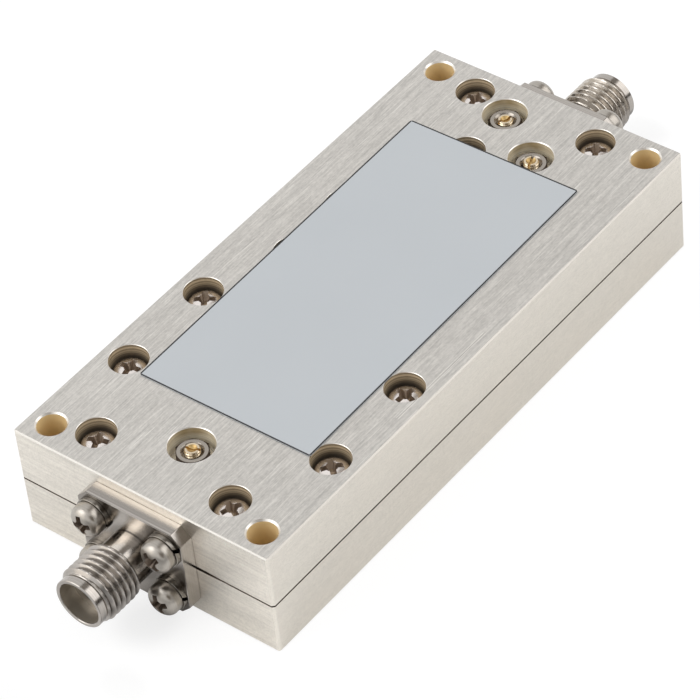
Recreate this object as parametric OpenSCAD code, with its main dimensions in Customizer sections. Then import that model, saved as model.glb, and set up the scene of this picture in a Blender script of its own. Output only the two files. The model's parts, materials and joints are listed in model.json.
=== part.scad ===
// Two-piece milled microwave filter with a threaded coaxial jack at each end.
// Origin: centre of the bottom face. +Z up, the length runs along Y, the input jack looks to -Y.

/* [Housing] */
// Width of the housing, along X
body_w = 31.3; // [29:0.1:36]
// Length of the housing between its two end faces, along Y
body_l = 67.4; // [66:0.1:76]
// Thickness of the lower half
lower_h = 6.2; // [5.9:0.1:8]
// Thickness of the upper half
upper_h = 6.4; // [6.3:0.1:8]
// Bevel on the outer edges at the top and the bottom
edge_bevel = 0.15; // [0.1:0.01:0.4]
// Bevel on the four upright corner edges
corner_bevel = 0.25; // [0.1:0.05:0.4]
// Small bevel along the parting line, which shows as a dark hairline
seam_bevel = 0.1; // [0.05:0.01:0.15]

/* [Corner mounting holes] */
// Diameter of the four through holes
mount_hole_d = 3; // [2.4:0.1:3.2]
// Distance from each hole's centre to the side and to the end
mount_inset = 2.65; // [2.3:0.05:2.9]
// Bevel at the top of each hole
mount_bevel = 0.17; // [0.05:0.01:0.3]

/* [Cover screws] */
// Thread diameter of the small screws
screw_d = 2; // [1.6:0.1:2.2]
// Diameter of the pan heads
head_d = 3.5; // [3:0.05:3.6]
// Height of the pan heads
head_h = 1.75; // [1.4:0.05:1.8]
// Outer diameter of the split washers
washer_d = 3.8; // [3.4:0.05:3.9]
// Thickness of the split washers
washer_t = 0.5; // [0.3:0.05:0.6]
// Gap in the split washers
washer_gap = 0.3; // [0.2:0.05:0.5]
// Diameter of the counterbores
cbore_d = 4.1; // [4:0.05:4.4]
// Bevel on the rims of the counterbores
cbore_rim = 0.05; // [0.05:0.01:0.15]
// How far the heads lie below the top face
head_sunk = 0.95; // [0.6:0.05:1.1]
// Depth of thread engaged in the lower half
cover_grip = 4; // [2.5:0.1:4.4]
// Distance of the side rows from the side faces
row_inset = 3.15; // [2.8:0.05:3.3]
// Distance of the first screw of each side row from the input end
row_start = 13.6; // [12.5:0.1:14.5]
// Spacing of the side rows
row_pitch = 11.5; // [10:0.1:12]
// Offset of the waist screws from the centreline, on the left
waist_left = 8.7; // [8.5:0.1:9.5]
// Offset of the waist screws from the centreline, on the right
waist_right = 8.2; // [8:0.1:9.5]
// Distance of the first waist screws from the input end
waist_start = 34.65; // [33:0.05:36]
// Spacing of the waist screws
waist_pitch = 8.4; // [7:0.1:9]
// Offset of the left screw at the input end
input_left = 8.6; // [8.3:0.1:9]
// Offset of the right screw at the input end
input_right = 7.95; // [7.6:0.05:8.6]
// Distance of the screw pair from the input end
input_pair_inset = 4.15; // [3.8:0.05:4.4]
// Offset of the left screw at the output end
output_left = 7.9; // [7.5:0.1:8.3]
// Offset of the right screw at the output end
output_right = 7.3; // [7.2:0.1:8]
// Distance of the screw pair from the output end
output_pair_inset = 3.3; // [3.1:0.05:3.6]
// Offset of the inner screw near the output end
inner_x = -3.2; // [-3.6:0.1:-3]
// Distance of the inner screw from the output end
inner_inset = 11.3; // [11:0.1:12]

/* [Tuners] */
// Thread diameter of the tuning screws
tuner_d = 1.7; // [1.5:0.05:1.8]
// Width across the flats of the lock nuts
nut_flats = 3.2; // [2.8:0.1:3.5]
// Thickness of the lock nuts
nut_h = 1.3; // [0.9:0.05:1.5]
// Width of the countersink around each tuning screw
nut_sink = 0.3; // [0.1:0.05:0.35]
// Diameter of the tuner counterbores
tuner_cbore_d = 4.72; // [4.3:0.02:4.9]
// Depth of the tuner counterbores
tuner_cbore_h = 2.1; // [1.8:0.05:2.3]
// Bevel on the rims of the tuner counterbores
tuner_rim = 0.08; // [0.05:0.01:0.15]
// How far the input tuner's slotted end lies below the top face
near_tuner_sunk = 0.45; // [0.3:0.05:0.8]
// How far the left output tuner's slotted end lies below the top face
left_tuner_sunk = 0.7; // [0.3:0.05:0.8]
// How far the right output tuner's slotted end lies below the top face
right_tuner_sunk = 0.5; // [0.3:0.05:0.8]
// Height of the screws' tips over the centre strip
tuner_tip_gap = 0.7; // [0.3:0.05:1.2]
// Width of the driver slots
slot_w = 0.34; // [0.2:0.02:0.5]
// Depth of the driver slots
slot_h = 0.4; // [0.2:0.05:0.6]
// Sideways offset of the input tuner
near_tuner_x = 0.19; // [-0.5:0.01:0.5]
// Distance of the input tuner from the input end
near_tuner_inset = 7.84; // [7.6:0.02:8.2]
// Sideways offset of the left output tuner
left_tuner_x = -3.14; // [-3.3:0.02:-2.9]
// Distance of the left output tuner from the output end
left_tuner_inset = 4.61; // [4.55:0.01:4.8]
// Sideways offset of the right output tuner
right_tuner_x = 3.07; // [2.8:0.01:3.3]
// Distance of the right output tuner from the output end
right_tuner_inset = 8.68; // [8.5:0.02:9]

/* [Label plate] */
// Width of the label plate
label_w = 20.9; // [20.6:0.1:21.2]
// Length of the label plate
label_l = 44.3; // [42:0.1:44.6]
// Thickness of the label plate
label_t = 0.1; // [0.1:0.05:0.3]
// Offset of the label plate towards the output end
label_y = 1.05; // [0.8:0.05:1.1]
// Turn of the label plate, seen from above
label_turn = 0.6; // [0:0.1:1]

/* [Coaxial jacks] */
// Width of the flanges
flange_w = 12.7; // [12.2:0.1:13.4]
// Height of the flanges
flange_h = 10.4; // [10.2:0.1:11]
// Thickness of the flanges
flange_t = 1.7; // [1.2:0.1:2]
// Cut corners of the flanges
flange_cut = 1.1; // [0.5:0.1:1.3]
// Spacing of the flange screws, sideways
flange_hole_x = 8.64; // [8.4:0.02:8.8]
// Spacing of the flange screws, upwards
flange_hole_z = 5.8; // [5.6:0.1:6]
// Depth of thread engaged by the flange screws
flange_grip = 2.8; // [2:0.1:2.9]
// Diameter of the necks
neck_d = 5.2; // [4.8:0.05:5.2]
// Distance from the end face to the thread
thread_start = 4.2; // [3.8:0.05:4.6]
// Outside diameter of the thread
thread_d = 6.35; // [6.1:0.05:6.5]
// Distance from the end face to the last full thread
thread_end = 8.35; // [8.2:0.05:8.6]
// Diameter of the plain collar at the mouth
collar_d = 5.55; // [5.4:0.05:5.7]
// Distance from the end face to the collar's taper
collar_start = 8.9; // [8.8:0.05:9.2]
// Distance from the end face to the rim
jack_reach = 9.75; // [9.6:0.05:10.2]
// Diameter of the socket in the mouth
socket_d = 4.75; // [4.5:0.05:4.8]
// Depth of the socket in the mouth
socket_h = 1.9; // [1.6:0.05:2.2]
// Diameter of the air line behind the socket
line_d = 2.92; // [2.8:0.02:3.1]
// Diameter of the support beads
bead_d = 4; // [3.4:0.1:4.2]
// Thickness of the support beads
bead_t = 1.4; // [0.8:0.1:1.45]
// Diameter of the centre contacts
contact_d = 1.27; // [1.2:0.01:1.36]
// Bore of the centre contacts' sockets
contact_bore = 0.94; // [0.85:0.01:1]
// Diameter of the contacts' rear pins
pin_d = 0.9; // [0.7:0.02:1]

/* [Cavity and centre strip] */
// Depth of the cavity in each half
cavity_h = 2.6; // [2.4:0.05:2.8]
// Width of the cavity at the input end
cavity_w = 18.6; // [17.8:0.1:18.8]
// Width of the cavity at the waist
waist_w = 12.6; // [12:0.1:13]
// Wall between the input end face and the cavity
input_wall = 6.4; // [6.3:0.05:6.6]
// Wall between the output end face and the cavity
output_wall = 3.7; // [3.6:0.05:3.8]
// Radius of the cavity's milled corners
mill_r = 1; // [0.6:0.05:1.1]
// Diameter of the half-round channels for the pins
channel_d = 2.1; // [1.8:0.05:2.3]
// Thickness of the centre strip
strip_t = 1.6; // [1.3:0.05:1.8]
// Width of the centre strip's narrow lines
line_w = 2.2; // [1.6:0.1:2.4]
// Width of the wide pads at the input end
pad_w = 13; // [11:0.1:14]
// Width of the pads at the waist
waist_pad_w = 8.6; // [7:0.1:9]
// Length of each pad
pad_l = 4.6; // [4:0.1:5]
// Diameter of the support posts
post_d = 2.4; // [1.6:0.1:2.6]

/* [Hidden] */
$fn = 48;

silver = [0.80, 0.78, 0.75];
nickel = [0.48, 0.45, 0.42];
steel = [0.68, 0.66, 0.63];
gold = [0.85, 0.66, 0.32];
cream = [0.93, 0.91, 0.86];
plate_grey = [0.76, 0.78, 0.80];

// Radial play of a screw in its tapped hole, and of a seated round piece in its seat
fit_play = 0.03;
// Radial play of a screw in a clearance hole
clear_play = 0.15;
// Overrun of the cutting tools past a face
cut = 0.5;

body_h = lower_h + upper_h;
axis_z = lower_h;
near_y = -body_l / 2;
far_y = body_l / 2;
cavity_top = axis_z + cavity_h;
cavity_floor = axis_z - cavity_h;
strip_top = axis_z + strip_t / 2;
strip_floor = axis_z - strip_t / 2;

// Pan heads: share of the height that is straight, and the cross recess
head_side = 0.43;
recess_span = head_d * 0.7;
recess_arm = head_d * 0.17;
recess_h = head_h * 0.6;

// Cover screws: seat of the washers, and places
cover_seat = body_h - head_sunk - head_h - washer_t;
row_x = body_w / 2 - row_inset;
row_y = [near_y + row_start, near_y + row_start + row_pitch];
waist_y = [near_y + waist_start, near_y + waist_start + waist_pitch];
cover_points = concat(
    [for (side = [-1, 1], y = row_y) [side * row_x, y]],
    [for (y = waist_y) [-waist_left, y]],
    [for (y = waist_y) [waist_right, y]],
    [[-input_left, near_y + input_pair_inset], [input_right, near_y + input_pair_inset],
     [-output_left, far_y - output_pair_inset], [output_right, far_y - output_pair_inset],
     [inner_x, far_y - inner_inset]]);
corner_points = [for (sx = [-1, 1], sy = [-1, 1])
    [sx * (body_w / 2 - mount_inset), sy * (body_l / 2 - mount_inset)]];
flange_points = [for (sx = [-1, 1], sz = [-1, 1])
    [sx * flange_hole_x / 2, sz * flange_hole_z / 2]];

// Tuners: places, the seat of the nuts and the span of the screws
near_tuner_at = [near_tuner_x, near_y + near_tuner_inset];
left_tuner_at = [left_tuner_x, far_y - left_tuner_inset];
right_tuner_at = [right_tuner_x, far_y - right_tuner_inset];
tuner_points = [near_tuner_at, left_tuner_at, right_tuner_at];
nut_seat = body_h - tuner_cbore_h;
tuner_tip = strip_top + tuner_tip_gap;

// The cavity runs past the screws: wide at the input, narrow at the waist, to the right of
// the inner screw, and back to the centreline at the output jack.
cavity_near = near_y + input_wall;
cavity_far = far_y - output_wall;
wide_end = row_y[1] + cbore_d / 2 + 0.4;
waist_end = waist_y[1] + cbore_d / 2 + 2.4;
offset_left = inner_x + cbore_d / 2 + 0.35;
offset_right = right_tuner_x + 4.6;
offset_end = far_y - output_pair_inset - cbore_d / 2 - 1.3;
output_left_wall = -output_left + cbore_d / 2 + 0.5;
output_right_wall = output_right - cbore_d / 2 - 0.2;
output_room = far_y - inner_inset + cbore_d / 2 + 1.9;

// Centre strip: pads in line, then offset to pass the inner screw
strip_gap = 0.4;
strip_near = cavity_near + strip_gap;
strip_far = cavity_far - strip_gap;
pin_grip = 1.3;
pin_bore_play = 0.02;
offset_x = (offset_left + offset_right) / 2;
offset_pad_w = offset_right - offset_left - 2.4;
wide_pads = [near_tuner_at[1] + tuner_d + 1 + pad_l / 2, row_y[1] - pad_l / 2 + 0.5];
waist_pads = [waist_y[0] - 0.4, waist_y[1] - 1.4];
offset_pad = (waist_end + right_tuner_at[1]) / 2;
jog_y = waist_end - 1 - line_w / 2;
post_points = concat([for (y = wide_pads) [-pad_w / 4, y]], [for (y = wide_pads) [pad_w / 4, y]],
    [for (y = waist_pads) [0, y]], [[offset_x, offset_pad]]);

// Contact and bead places, measured along the jack from the housing's end face
bead_seat_play = 0.05;
contact_front = jack_reach - socket_h - 0.1;
contact_bore_h = 2;

// A rectangle with its four corners cut at 45 degrees
module cut_rect(w, h, c) {
    polygon([[-w / 2 + c, -h / 2], [w / 2 - c, -h / 2], [w / 2, -h / 2 + c], [w / 2, h / 2 - c],
        [w / 2 - c, h / 2], [-w / 2 + c, h / 2], [-w / 2, h / 2 - c], [-w / 2, -h / 2 + c]]);
}

// Cross-section of one housing half, w wide, with bevels b at the floor and t at the top
module half_section(w, h, b, t) {
    polygon([[-w / 2 + b, 0], [w / 2 - b, 0], [w / 2, b], [w / 2, h - t],
        [w / 2 - t, h], [-w / 2 + t, h], [-w / 2, h - t], [-w / 2, b]]);
}

// A housing half before machining: three crossing extrusions bevel all of its edges
module half_block(h, b, t) {
    intersection() {
        linear_extrude(h) cut_rect(body_w, body_l, corner_bevel);
        translate([0, body_l / 2, 0]) rotate([90, 0, 0])
            linear_extrude(body_l) half_section(body_w, h, b, t);
        translate([-body_w / 2, 0, 0]) rotate([90, 0, 90])
            linear_extrude(body_w) half_section(body_l, h, b, t);
    }
}

// A milled pocket outline from [x0, y0] to [x1, y1] with the cutter's radius in its corners
module pocket(x0, x1, y0, y1) {
    r = mill_r;
    translate([x0 + r, y0]) square([x1 - x0 - 2 * r, y1 - y0]);
    translate([x0, y0 + r]) square([x1 - x0, y1 - y0 - 2 * r]);
    for (x = [x0 + r, x1 - r], y = [y0 + r, y1 - r]) translate([x, y]) circle(r);
}

module cavity_outline() {
    pocket(-cavity_w / 2, cavity_w / 2, cavity_near, wide_end);
    pocket(-waist_w / 2, waist_w / 2, wide_end - 2 * mill_r, waist_end);
    pocket(offset_left, offset_right, waist_end - 2 * mill_r, offset_end);
    pocket(output_left_wall, output_right_wall, output_room, cavity_far);
}

// Everything that both halves share: cavity, half-round pin channels and corner holes
module shared_cuts() {
    translate([0, 0, cavity_floor]) linear_extrude(2 * cavity_h) cavity_outline();
    translate([0, cavity_near + cut, axis_z]) rotate([90, 0, 0])
        cylinder(d = channel_d, h = input_wall + 2 * cut);
    translate([0, far_y + cut, axis_z]) rotate([90, 0, 0])
        cylinder(d = channel_d, h = output_wall + 2 * cut);
    for (p = corner_points) translate([p[0], p[1], -cut])
        cylinder(d = mount_hole_d, h = body_h + 2 * cut);
    for (p = flange_points) {
        translate([p[0], near_y + flange_grip + 0.2, axis_z + p[1]]) rotate([90, 0, 0])
            cylinder(d = screw_d + 2 * fit_play, h = flange_grip + 0.2 + cut);
        translate([p[0], far_y + cut, axis_z + p[1]]) rotate([90, 0, 0])
            cylinder(d = screw_d + 2 * fit_play, h = flange_grip + 0.2 + cut);
    }
}

// A cone that bevels the rim of a hole of diameter d in the top face by b
module rim_cut(d, b) {
    translate([0, 0, body_h - b]) cylinder(d1 = d, d2 = d + 2 * (b + cut), h = b + cut);
}

module upper_shell() {
    color(silver) difference() {
        translate([0, 0, lower_h]) half_block(upper_h, seam_bevel, edge_bevel);
        shared_cuts();
        for (p = corner_points) translate([p[0], p[1], 0]) rim_cut(mount_hole_d, mount_bevel);
        for (p = cover_points) translate([p[0], p[1], 0]) {
            cylinder(d = screw_d + 2 * clear_play, h = body_h);
            translate([0, 0, cover_seat]) cylinder(d = cbore_d, h = body_h);
            rim_cut(cbore_d, cbore_rim);
        }
        for (p = tuner_points) translate([p[0], p[1], 0]) {
            translate([0, 0, axis_z]) cylinder(d = tuner_d + 2 * fit_play, h = body_h);
            translate([0, 0, nut_seat]) cylinder(d = tuner_cbore_d, h = body_h);
            rim_cut(tuner_cbore_d, tuner_rim);
        }
    }
}

module lower_shell() {
    color(silver) difference() {
        half_block(lower_h, edge_bevel, seam_bevel);
        shared_cuts();
        for (p = cover_points) translate([p[0], p[1], lower_h - cover_grip - 0.3])
            cylinder(d = screw_d + 2 * fit_play, h = body_h);
    }
}

// The plate lies flat on the top face, a little askew, as it was stuck on
module label_plate() {
    color(plate_grey) translate([0, label_y, body_h]) rotate([0, 0, label_turn])
        linear_extrude(label_t) cut_rect(label_w, label_l, 0.2);
}

// Half outline of a pan head of radius r and height h: straight side, then a full dome
function pan_outline(r, h) = concat([[0, 0], [r, 0], [r, h * head_side]],
    [for (a = [15 : 15 : 75]) [r * cos(a), h * (head_side + (1 - head_side) * sin(a))]],
    [[0, h]]);

// A cross-recessed pan head screw: seat of the head at z = 0, shank of length l below it
module pan_screw(l) {
    difference() {
        union() {
            rotate_extrude() polygon(pan_outline(head_d / 2, head_h));
            translate([0, 0, -l]) cylinder(d1 = screw_d * 0.7, d2 = screw_d, h = 0.3);
            translate([0, 0, 0.3 - l]) cylinder(d = screw_d, h = l - 0.2);
        }
        for (a = [0, 90]) rotate([0, 0, a])
            translate([-recess_span / 2, -recess_arm / 2, head_h - recess_h])
                cube([recess_span, recess_arm, head_h]);
    }
}

// A split washer lying on z = 0
module split_washer() {
    difference() {
        cylinder(d = washer_d, h = washer_t);
        translate([0, 0, -cut]) cylinder(d = screw_d + 2 * clear_play, h = washer_t + 2 * cut);
        rotate([0, 0, -40]) translate([0, -washer_gap / 2, -cut])
            cube([washer_d, washer_gap, washer_t + 2 * cut]);
    }
}

module cover_screws() {
    for (p = cover_points) color(nickel)
        translate([p[0], p[1], cover_seat + washer_t]) rotate([0, 0, 40 + 7 * p[1]])
            pan_screw(cover_seat + washer_t - lower_h + cover_grip);
}

module cover_washers() {
    for (p = cover_points) color(nickel)
        translate([p[0], p[1], cover_seat]) rotate([0, 0, 5 * p[1]]) split_washer();
}

// One end of the housing in the jack's own frame: +Z out of the mouth, origin on the end face
module at_input() {
    translate([0, near_y, axis_z]) rotate([90, 0, 0]) children();
}
module at_output() {
    translate([0, far_y, axis_z]) rotate([-90, 0, 0]) children();
}

// Half outline of the turned barrel: neck, thread blank, taper, collar and rim
function barrel_outline() = [[0, 0], [neck_d / 2, 0], [neck_d / 2, thread_start - 0.15],
    [thread_d / 2 - 0.25, thread_start], [thread_d / 2, thread_start + 0.25],
    [thread_d / 2, thread_end], [collar_d / 2, collar_start],
    [collar_d / 2, jack_reach - 0.12], [collar_d / 2 - 0.12, jack_reach], [0, jack_reach]];

module jack() {
    difference() {
        union() {
            linear_extrude(flange_t) cut_rect(flange_w, flange_h, flange_cut);
            rotate_extrude() polygon(barrel_outline());
        }
        translate([0, 0, -cut]) cylinder(d = line_d, h = jack_reach + 2 * cut);
        translate([0, 0, jack_reach - socket_h]) cylinder(d = socket_d, h = socket_h + cut);
        translate([0, 0, jack_reach - 0.12])
            cylinder(d1 = socket_d, d2 = socket_d + 2 * (0.12 + cut), h = 0.12 + cut);
        translate([0, 0, -cut]) cylinder(d = bead_d + 2 * fit_play, h = bead_t + bead_seat_play + cut);
        for (p = flange_points) translate([p[0], p[1], -cut])
            cylinder(d = screw_d + 2 * clear_play, h = flange_t + 2 * cut);
    }
}

module bead() {
    difference() {
        cylinder(d = bead_d, h = bead_t);
        translate([0, 0, -cut]) cylinder(d = pin_d + 2 * pin_bore_play, h = bead_t + 2 * cut);
    }
}

// Slotted socket in front of the bead, pin behind it that reaches back to depth in the housing
module contact(depth) {
    difference() {
        union() {
            translate([0, 0, bead_t]) cylinder(d = contact_d, h = contact_front - bead_t);
            translate([0, 0, -depth]) cylinder(d = pin_d, h = depth + bead_t + 0.1);
        }
        translate([0, 0, contact_front - contact_bore_h])
            cylinder(d = contact_bore, h = contact_bore_h + cut);
        for (a = [0, 90]) rotate([0, 0, a])
            translate([-contact_d, -0.08, contact_front - contact_bore_h])
                cube([2 * contact_d, 0.16, contact_bore_h + cut]);
    }
}

module flange_screws() {
    for (p = flange_points) translate([p[0], p[1], flange_t + washer_t])
        rotate([0, 0, 30 + 12 * p[0] + 5 * p[1]]) pan_screw(flange_t + washer_t + flange_grip);
}

module flange_washers() {
    for (p = flange_points) translate([p[0], p[1], flange_t]) split_washer();
}

module input_jack() { color(steel) at_input() jack(); }
module input_bead() { color(cream) at_input() bead(); }
module input_contact() { color(gold) at_input() contact(input_wall + strip_gap + pin_grip); }
module input_screws() { color(nickel) at_input() flange_screws(); }
module input_washers() { color(nickel) at_input() flange_washers(); }
module output_jack() { color(steel) at_output() jack(); }
module output_bead() { color(cream) at_output() bead(); }
module output_contact() { color(gold) at_output() contact(output_wall + strip_gap + pin_grip); }
module output_screws() { color(nickel) at_output() flange_screws(); }
module output_washers() { color(nickel) at_output() flange_washers(); }

// A slotted tuning screw at p, its end sunk below the top face and its slot turned by a degrees
module tuning_screw(p, sunk, a) {
    top = body_h - sunk;
    color(gold) translate([p[0], p[1], 0]) difference() {
        translate([0, 0, tuner_tip]) cylinder(d = tuner_d, h = top - tuner_tip);
        translate([0, 0, top - slot_h]) rotate([0, 0, a])
            translate([-tuner_d, -slot_w / 2, 0]) cube([2 * tuner_d, slot_w, slot_h + cut]);
    }
}

// A hexagonal lock nut on its seat at p, with rounded crests on its top side
module lock_nut(p, a) {
    across = nut_flats / cos(30);
    color(steel) translate([p[0], p[1], nut_seat]) rotate([0, 0, a]) difference() {
        intersection() {
            cylinder(d = across, h = nut_h, $fn = 6);
            rotate_extrude() polygon([[0, 0], [across / 2 + 0.1, 0], [across / 2 + 0.1, nut_h * 0.7],
                [nut_flats / 2, nut_h], [0, nut_h]]);
        }
        translate([0, 0, -cut]) cylinder(d = tuner_d + 2 * fit_play, h = nut_h + 2 * cut);
        translate([0, 0, nut_h - nut_sink])
            cylinder(d1 = tuner_d + 2 * fit_play, d2 = tuner_d + 2 * (fit_play + nut_sink + cut),
                h = nut_sink + cut);
    }
}

module near_tuner() { tuning_screw(near_tuner_at, near_tuner_sunk, 20); }
module near_nut() { lock_nut(near_tuner_at, 12); }
module left_tuner() { tuning_screw(left_tuner_at, left_tuner_sunk, 65); }
module left_nut() { lock_nut(left_tuner_at, 25); }
module right_tuner() { tuning_screw(right_tuner_at, right_tuner_sunk, 110); }
module right_nut() { lock_nut(right_tuner_at, 5); }

// A straight stretch of the strip, w wide, between two heights along y and centred on x
module run(x, w, y0, y1) {
    translate([x - w / 2, y0]) square([w, y1 - y0]);
}

module strip_outline() {
    run(0, line_w, strip_near, jog_y + line_w / 2);
    for (y = wide_pads) run(0, pad_w, y - pad_l / 2, y + pad_l / 2);
    for (y = waist_pads) run(0, waist_pad_w, y - pad_l / 2, y + pad_l / 2);
    translate([0, jog_y - line_w / 2]) square([offset_x, line_w]);
    run(offset_x, line_w, jog_y - line_w / 2, offset_pad);
    run(offset_x, offset_pad_w, offset_pad - pad_l / 2, offset_pad + pad_l / 2);
    run(right_tuner_x, line_w, offset_pad, strip_far);
    translate([left_tuner_x - tuner_d / 2, left_tuner_at[1] - tuner_d / 2])
        square([right_tuner_x - left_tuner_x + tuner_d / 2, strip_far - left_tuner_at[1] + tuner_d / 2]);
    run(0, line_w, strip_far - pin_grip - 1, strip_far);
}

module centre_strip() {
    color(gold) difference() {
        translate([0, 0, strip_floor]) linear_extrude(strip_t) strip_outline();
        translate([0, strip_near + pin_grip + 0.1, axis_z]) rotate([90, 0, 0])
            cylinder(d = pin_d + 2 * pin_bore_play, h = pin_grip + 0.1 + cut);
        translate([0, strip_far + cut, axis_z]) rotate([90, 0, 0])
            cylinder(d = pin_d + 2 * pin_bore_play, h = pin_grip + 0.1 + cut);
    }
}

// Insulating posts over and under the pads hold the strip at mid height
module strip_posts() {
    for (p = post_points) color(cream) {
        translate([p[0], p[1], cavity_floor]) cylinder(d = post_d, h = strip_floor - cavity_floor);
        translate([p[0], p[1], strip_top]) cylinder(d = post_d, h = cavity_top - strip_top);
    }
}

upper_shell();
lower_shell();
label_plate();
cover_screws();
cover_washers();
input_jack();
input_bead();
input_contact();
input_screws();
input_washers();
output_jack();
output_bead();
output_contact();
output_screws();
output_washers();
near_tuner();
near_nut();
left_tuner();
left_nut();
right_tuner();
right_nut();
centre_strip();
strip_posts();
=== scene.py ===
# %% [markdown]
# # A microwave filter in a silver-plated housing
#
# The object is a flat metal box of two milled halves with a coaxial jack on each end. The solids
# come from the CAD model, which is loaded as a fixed frame. This lesson dresses them: it keeps the
# two halves and the label plate and gives them a finish, and it replaces the small turned parts,
# because screws, washers, nuts and threads need more shape than the solids carry.

# %% Load the frame
import json
import math

import bmesh
import bpy
import numpy as np
from mathutils import Matrix, Vector


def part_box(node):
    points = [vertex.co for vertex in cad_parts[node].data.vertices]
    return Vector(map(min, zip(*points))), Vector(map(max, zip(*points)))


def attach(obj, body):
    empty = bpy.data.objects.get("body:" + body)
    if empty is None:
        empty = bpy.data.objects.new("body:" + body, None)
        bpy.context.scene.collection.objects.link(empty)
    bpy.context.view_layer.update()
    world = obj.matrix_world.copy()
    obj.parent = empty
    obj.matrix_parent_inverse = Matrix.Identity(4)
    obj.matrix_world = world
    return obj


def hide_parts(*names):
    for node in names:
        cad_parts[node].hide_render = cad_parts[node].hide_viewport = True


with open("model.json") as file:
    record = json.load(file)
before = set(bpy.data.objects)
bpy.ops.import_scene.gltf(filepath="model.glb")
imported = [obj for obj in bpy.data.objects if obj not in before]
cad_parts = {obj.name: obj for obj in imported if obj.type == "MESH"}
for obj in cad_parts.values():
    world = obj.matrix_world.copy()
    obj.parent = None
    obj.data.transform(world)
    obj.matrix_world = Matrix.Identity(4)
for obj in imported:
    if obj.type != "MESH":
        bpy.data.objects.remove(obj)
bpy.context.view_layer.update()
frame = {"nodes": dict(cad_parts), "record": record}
MM = 0.001
ROOT = "housing"

# %% [markdown]
# ## Places and sizes from the frame
#
# Nothing is placed by eye. The washers of the CAD model are separate islands of triangles in one
# node, so the middle of each island says where a fastener sits. A copy of the node is merged
# first, because its triangles are loose. A tuner or a nut has a node of its own, whose box is
# enough, and the record's mounts give the radius of the jacks' thread and socket.

# %% Find the islands of a node


def opened(*meshes, merge=0.002 * MM):
    """A bmesh of some meshes, with vertices that meet merged."""
    made = bmesh.new()
    for mesh in meshes:
        made.from_mesh(mesh)
    if merge:
        bmesh.ops.remove_doubles(made, verts=made.verts, dist=merge)
    return made


def islands(node):
    """The (lowest corner, highest corner) of each separate solid in a CAD node, along Y, X and Z."""
    mesh = opened(frame["nodes"][node].data, merge=0.001 * MM)
    left, found = set(mesh.verts), []
    while left:
        todo, island = [left.pop()], []
        while todo:
            vert = todo.pop()
            island.append(vert.co[:])
            for edge in vert.link_edges:
                other = edge.other_vert(vert)
                if other in left:
                    left.discard(other)
                    todo.append(other)
        spots = np.array(island)
        found.append((Vector(spots.min(0)), Vector(spots.max(0))))
    mesh.free()
    return sorted(found, key=lambda box: [round(box[0][axis], 4) for axis in (1, 0, 2)])


seam_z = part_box("upper_shell")[0].z
half_x, half_y, top_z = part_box("upper_shell")[1]
cover_washers, flange_washers = islands("cover_washers"), islands("input_washers")
cover_screws, flange_screws = islands("cover_screws"), islands("input_screws")
FLANGE_T = -flange_washers[0][1].y - half_y
mount_sizes = {mount["name"]: mount["dims"] for mount in frame["record"]["mounts"]}
print("cover screws:", len(cover_screws), "seam at", round(seam_z / MM, 2), "mm")

# %% [markdown]
# ## A short way to write node trees
#
# Materials and Geometry Nodes are both trees of nodes. One helper adds a node, sets its inputs and
# draws the links. Long sums are hard to read as nodes, so a number in a tree is wrapped in a small
# class: each plus, times or comparison that is written on it adds one Math node.

# %% Node helpers


def sign(operation, step=1):
    """What a sign such as plus or less does with a number in a tree: it adds one Math node."""
    return lambda *values: calc(operation, *values[::step])


class Value:
    """A number, vector or colour in a node tree. Numbers can be reckoned with as usual."""
    __add__ = __radd__ = sign("ADD")
    __mul__ = __rmul__ = sign("MULTIPLY")
    __sub__, __rsub__, __truediv__ = sign("SUBTRACT"), sign("SUBTRACT", -1), sign("DIVIDE")
    __lt__, __gt__, __abs__ = sign("LESS_THAN"), sign("GREATER_THAN"), sign("ABSOLUTE")

    def __init__(self, tree, socket):
        self.tree, self.socket = tree, socket


def feed(value, socket):
    """Link an input to what another node puts out, or set it. A colour is three numbers."""
    if isinstance(value, Value):
        value.tree.links.new(value.socket, socket)
    else:
        socket.default_value = (*value, 1.0) if socket.type == "RGBA" else value


def add(tree, kind, inputs=None, take=0, **settings):
    """Add a node with its settings and inputs. Returns the output to take, or all for None."""
    node = tree.nodes.new(kind)
    for name, value in settings.items():
        setattr(node, name, value)
    for name, value in (inputs or {}).items():
        feed(value, node.inputs[name])
    return [Value(tree, s) for s in node.outputs] if take is None else Value(tree, node.outputs[take])


def calc(operation, *values, clamp=False):
    """One step of arithmetic, in a material or in Geometry Nodes."""
    tree = next(value.tree for value in values if isinstance(value, Value))
    return add(tree, "ShaderNodeMath", dict(enumerate(values)), operation=operation, use_clamp=clamp)


def split(vector):
    """The X, Y and Z of a vector."""
    return add(vector.tree, "ShaderNodeSeparateXYZ", {0: vector}, None)


def ramp(value, low, high, start=0.0, end=1.0, smooth=False):
    """Spread the values between two limits from start to end. Past the limits the ends hold."""
    return add(value.tree, "ShaderNodeMapRange", {"Value": value, "From Min": low, "From Max": high,
        "To Min": start, "To Max": end}, "Result", interpolation_type="SMOOTHSTEP" if smooth else "LINEAR")


def between(value, low, high):
    """1 where a value lies between two limits."""
    return (value > low) * (value < high)


def distance(across, along):
    """How far a point is from the middle, from its two coordinates."""
    return calc("SQRT", across * across + along * along)


def new_group(name, kind, inputs, outputs):
    """A node group with named sockets. Returns it, its inputs by name and its outputs."""
    group = bpy.data.node_groups.new(name, kind)
    for label, socket, value in inputs:
        made = group.interface.new_socket(label, in_out="INPUT", socket_type="NodeSocket" + socket)
        if value is not None:
            made.default_value = value
    for label, socket in outputs:
        group.interface.new_socket(label, in_out="OUTPUT", socket_type="NodeSocket" + socket)
    given = {s.name: Value(group, s) for s in group.nodes.new("NodeGroupInput").outputs}
    return group, given, group.nodes.new("NodeGroupOutput").inputs


print("node helpers ready")

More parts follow.
